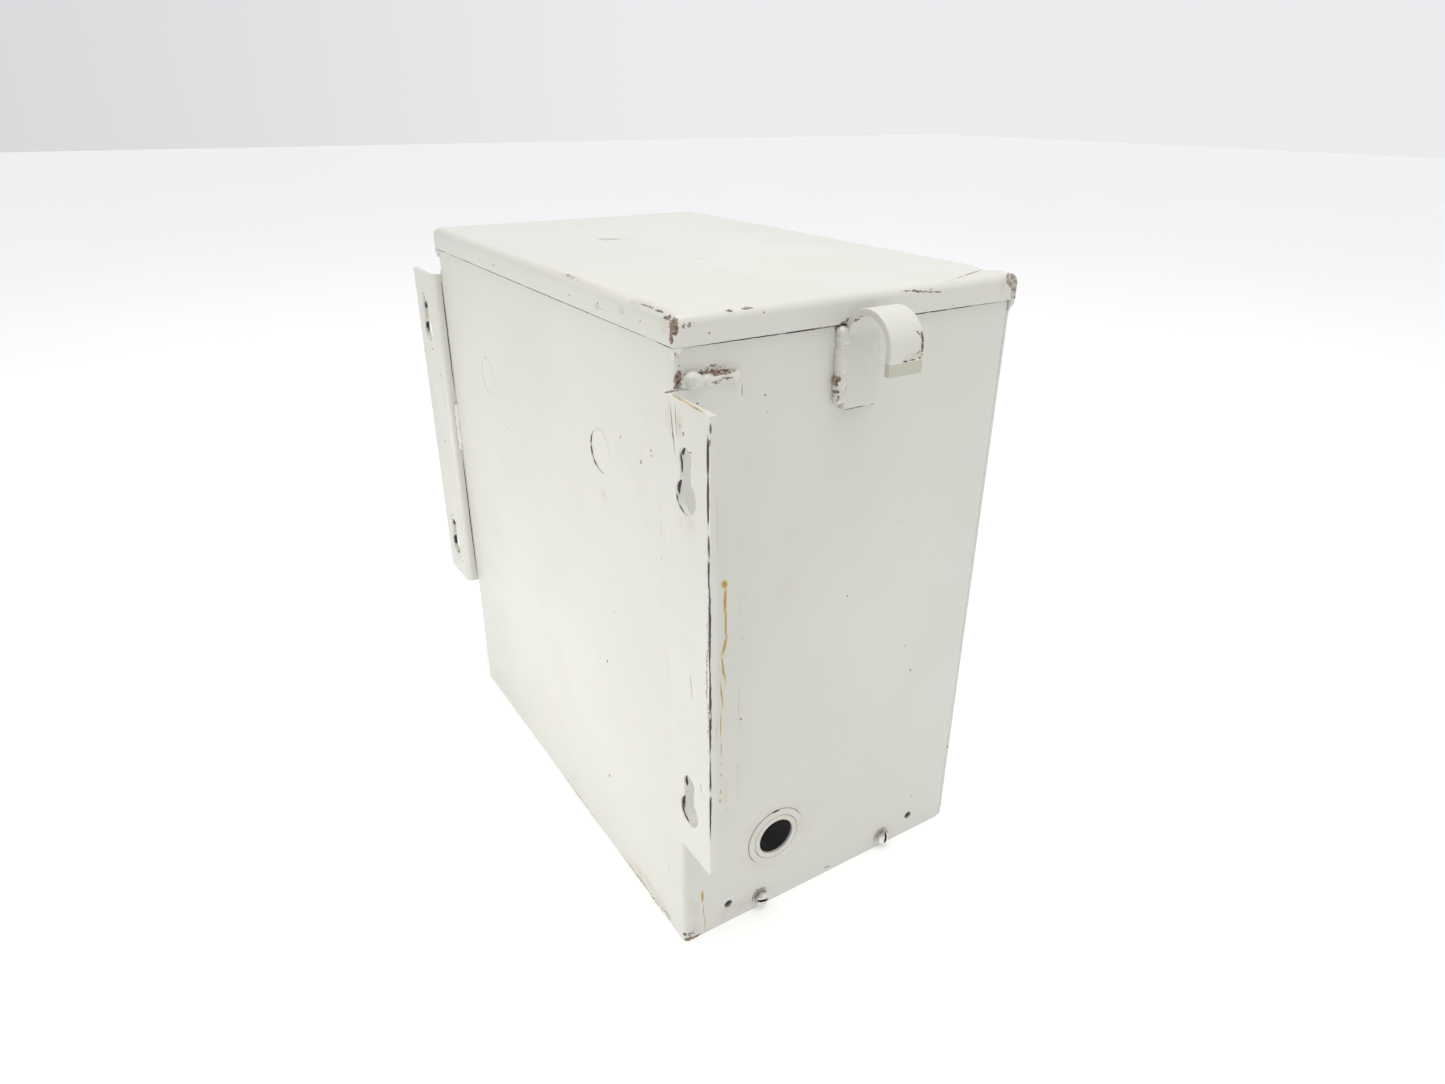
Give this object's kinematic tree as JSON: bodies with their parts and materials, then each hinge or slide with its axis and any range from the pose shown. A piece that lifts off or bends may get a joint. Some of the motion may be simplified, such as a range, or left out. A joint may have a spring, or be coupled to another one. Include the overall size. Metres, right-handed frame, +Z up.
{
  "type": "meter socket enclosure",
  "caption": "Wall-mount steel box with a lapped top pan, keyholed wall angles, lifting hooks, a tilting front cover with a round meter opening, and a jaw socket inside.",
  "frame": {"origin": "centre of the body's underside, between its side walls and between its front flanges and back", "axes": "+Z up, -Y out of the front cover, +Y towards the wall, +X to the right for someone who faces the front"},
  "size_m": [0.3874, 0.2145, 0.3429],
  "materials": {
    "grey_enamel": "warm off-white baked enamel, worn and chipped at edges",
    "zinc_plate": "bright zinc plate, lightly tarnished",
    "galvanised_steel": "galvanised, matt spangle",
    "phenolic": "moulded, satin",
    "tinned_copper": "tin plate over copper",
    "spring_steel": "oiled spring steel",
    "lug_aluminium": "extruded, satin",
    "screw_steel": "plated screws"
  },
  "bodies": {
    "box": {"angle_weld_beads": "grey_enamel", "back_knockout_discs": "grey_enamel", "back_panel": "grey_enamel", "block_screws": "screw_steel", "bottom_knockout_rings": "grey_enamel", "bottom_plate": "grey_enamel", "bottom_plate_screws": "zinc_plate", "cap_corner_welds": "grey_enamel", "ground_lug": "lug_aluminium", "ground_lug_screws": "screw_steel", "hook_weld_beads": "grey_enamel", "jaw_springs": "spring_steel", "left_knockout_rings": "grey_enamel", "left_lifting_hook": "grey_enamel", "left_line_jaw": "tinned_copper", "left_line_lug": "lug_aluminium", "left_load_jaw": "tinned_copper", "left_load_lug": "lug_aluminium", "left_mounting_angle": "grey_enamel", "left_side_panel": "grey_enamel", "line_socket_block": "phenolic", "load_socket_block": "phenolic", "lug_set_screws": "screw_steel", "neutral_lugs": "lug_aluminium", "neutral_posts": "lug_aluminium", "neutral_set_screws": "screw_steel", "neutral_strap": "lug_aluminium", "neutral_strap_screws": "screw_steel", "right_knockout_rings": "grey_enamel", "right_lifting_hook": "grey_enamel", "right_line_jaw": "tinned_copper", "right_line_lug": "lug_aluminium", "right_load_jaw": "tinned_copper", "right_load_lug": "lug_aluminium", "right_mounting_angle": "grey_enamel", "right_side_panel": "grey_enamel", "seal_staple": "zinc_plate", "socket_bridge": "galvanised_steel", "tang_screws": "screw_steel", "top_cap": "grey_enamel"},
    "cover": {"front_cover": "grey_enamel", "hasp_bracket": "zinc_plate", "hasp_rivets": "zinc_plate", "hasp_hinge_pin": "zinc_plate"},
    "hasp": {"cover_hasp": "zinc_plate"}
  },
  "joints": [
    {"name": "cover_tilt", "type": "hinge", "parent": "box", "child": "cover", "pos_m": [0, -0.0962, 0.331], "axis": [-1, 0, 0], "range_deg": [0, 30]},
    {"name": "hasp_swing", "type": "hinge", "parent": "cover", "child": "hasp", "pos_m": [0, -0.1005, 0.044], "axis": [-1, 0, 0], "range_deg": [0, 170]}
  ]
}
